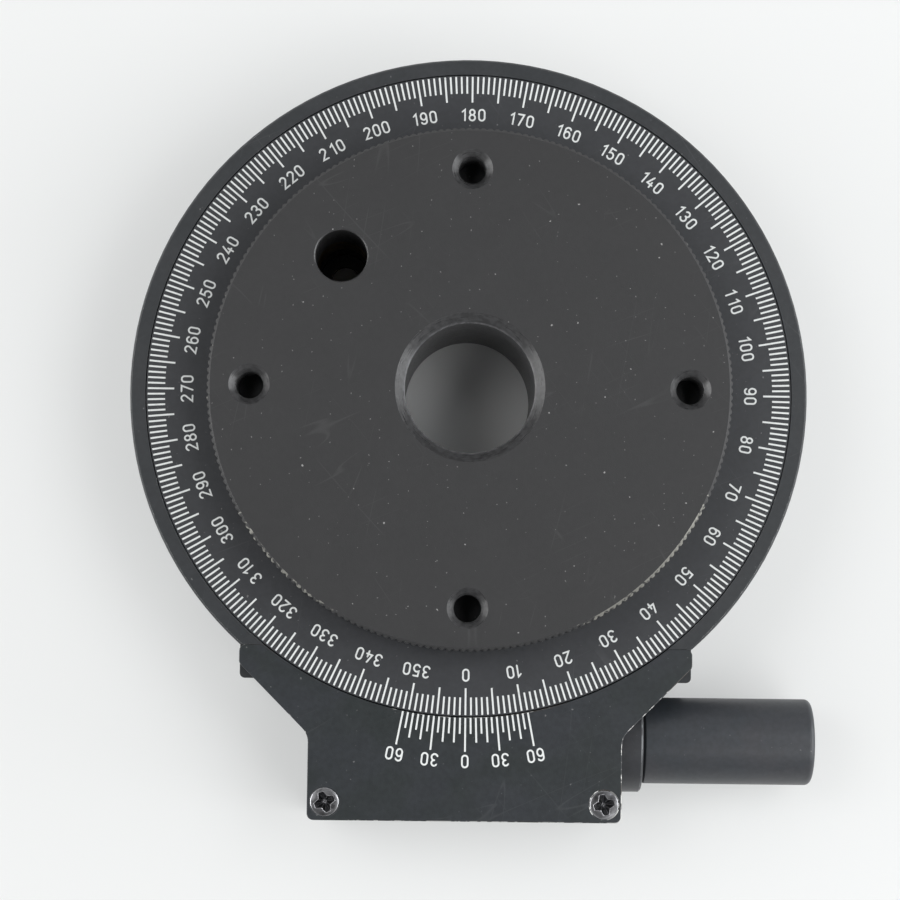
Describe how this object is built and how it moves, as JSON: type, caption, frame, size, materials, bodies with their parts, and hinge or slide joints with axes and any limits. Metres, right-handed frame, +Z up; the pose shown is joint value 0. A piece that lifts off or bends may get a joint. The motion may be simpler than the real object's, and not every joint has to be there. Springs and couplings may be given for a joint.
{
  "type": "rotation stage",
  "caption": "Manual worm-drive rotation stage: knurled round table with centre bore and tapped holes, graduated dial, vernier plate and a side drive knob.",
  "frame": {"origin": "the rotation axis where it meets the mounting face of the base", "axes": "+Z up along the rotation axis, +X towards the drive knob, -Y towards the vernier plate"},
  "size_m": [0.1074, 0.119, 0.0265],
  "materials": {
    "black_anodised": "matte black anodised aluminium",
    "black_table": "matte black anodised aluminium, knurled rim",
    "black_plate": "semi-gloss black with filled white marks",
    "black_knob": "satin black anodised",
    "screw_steel": "blackened steel",
    "bearing_steel": "ground",
    "ball_steel": "polished",
    "bronze": "machined"
  },
  "bodies": {
    "base": {"base_housing": "black_anodised", "vernier_plate": "black_plate", "vernier_plate_screws": "screw_steel", "bearing_retaining_ring": "black_anodised", "lower_outer_race": "bearing_steel", "upper_outer_race": "bearing_steel", "worm_flange": "black_knob", "worm_end_carrier": "screw_steel", "worm_end_plug": "black_anodised", "preload_washer": "bearing_steel", "worm_bush_right": "bronze", "worm_bush_left": "bronze", "backlash_set_screws": "screw_steel"},
    "rotating_table": {"table": "black_table", "dial_ring": "black_plate", "dial_ring_screws": "screw_steel", "worm_wheel": "bronze", "worm_wheel_screws": "screw_steel", "lower_inner_race": "bearing_steel", "upper_inner_race": "bearing_steel", "hub_lock_ring": "black_anodised", "lock_ring_set_screw": "screw_steel"},
    "worm_drive": {"worm": "bearing_steel", "worm_shaft": "bearing_steel", "thrust_washers": "bronze", "drive_knob": "black_knob", "knob_set_screw": "screw_steel"},
    "rolling_set": {"lower_bearing_balls": "ball_steel", "lower_bearing_cage": "bronze", "upper_bearing_balls": "ball_steel", "upper_bearing_cage": "bronze"}
  },
  "joints": [
    {"name": "table_turn", "type": "hinge", "parent": "base", "child": "rotating_table", "pos_m": [0, 0, 0.0187], "axis": [0, 0, 1], "continuous": true},
    {"name": "worm_turn", "type": "hinge", "parent": "base", "child": "worm_drive", "pos_m": [0.0411, -0.0538, 0.0085], "axis": [1, 0, 0], "continuous": true},
    {"name": "bearing_roll", "type": "hinge", "parent": "base", "child": "rolling_set", "pos_m": [0, 0, 0.0095], "axis": [0, 0, 1], "continuous": true}
  ],
  "couplings": [
    {"joint": "worm_turn", "follows": "table_turn", "ratio": -180},
    {"joint": "bearing_roll", "follows": "table_turn", "ratio": 0.4514}
  ]
}
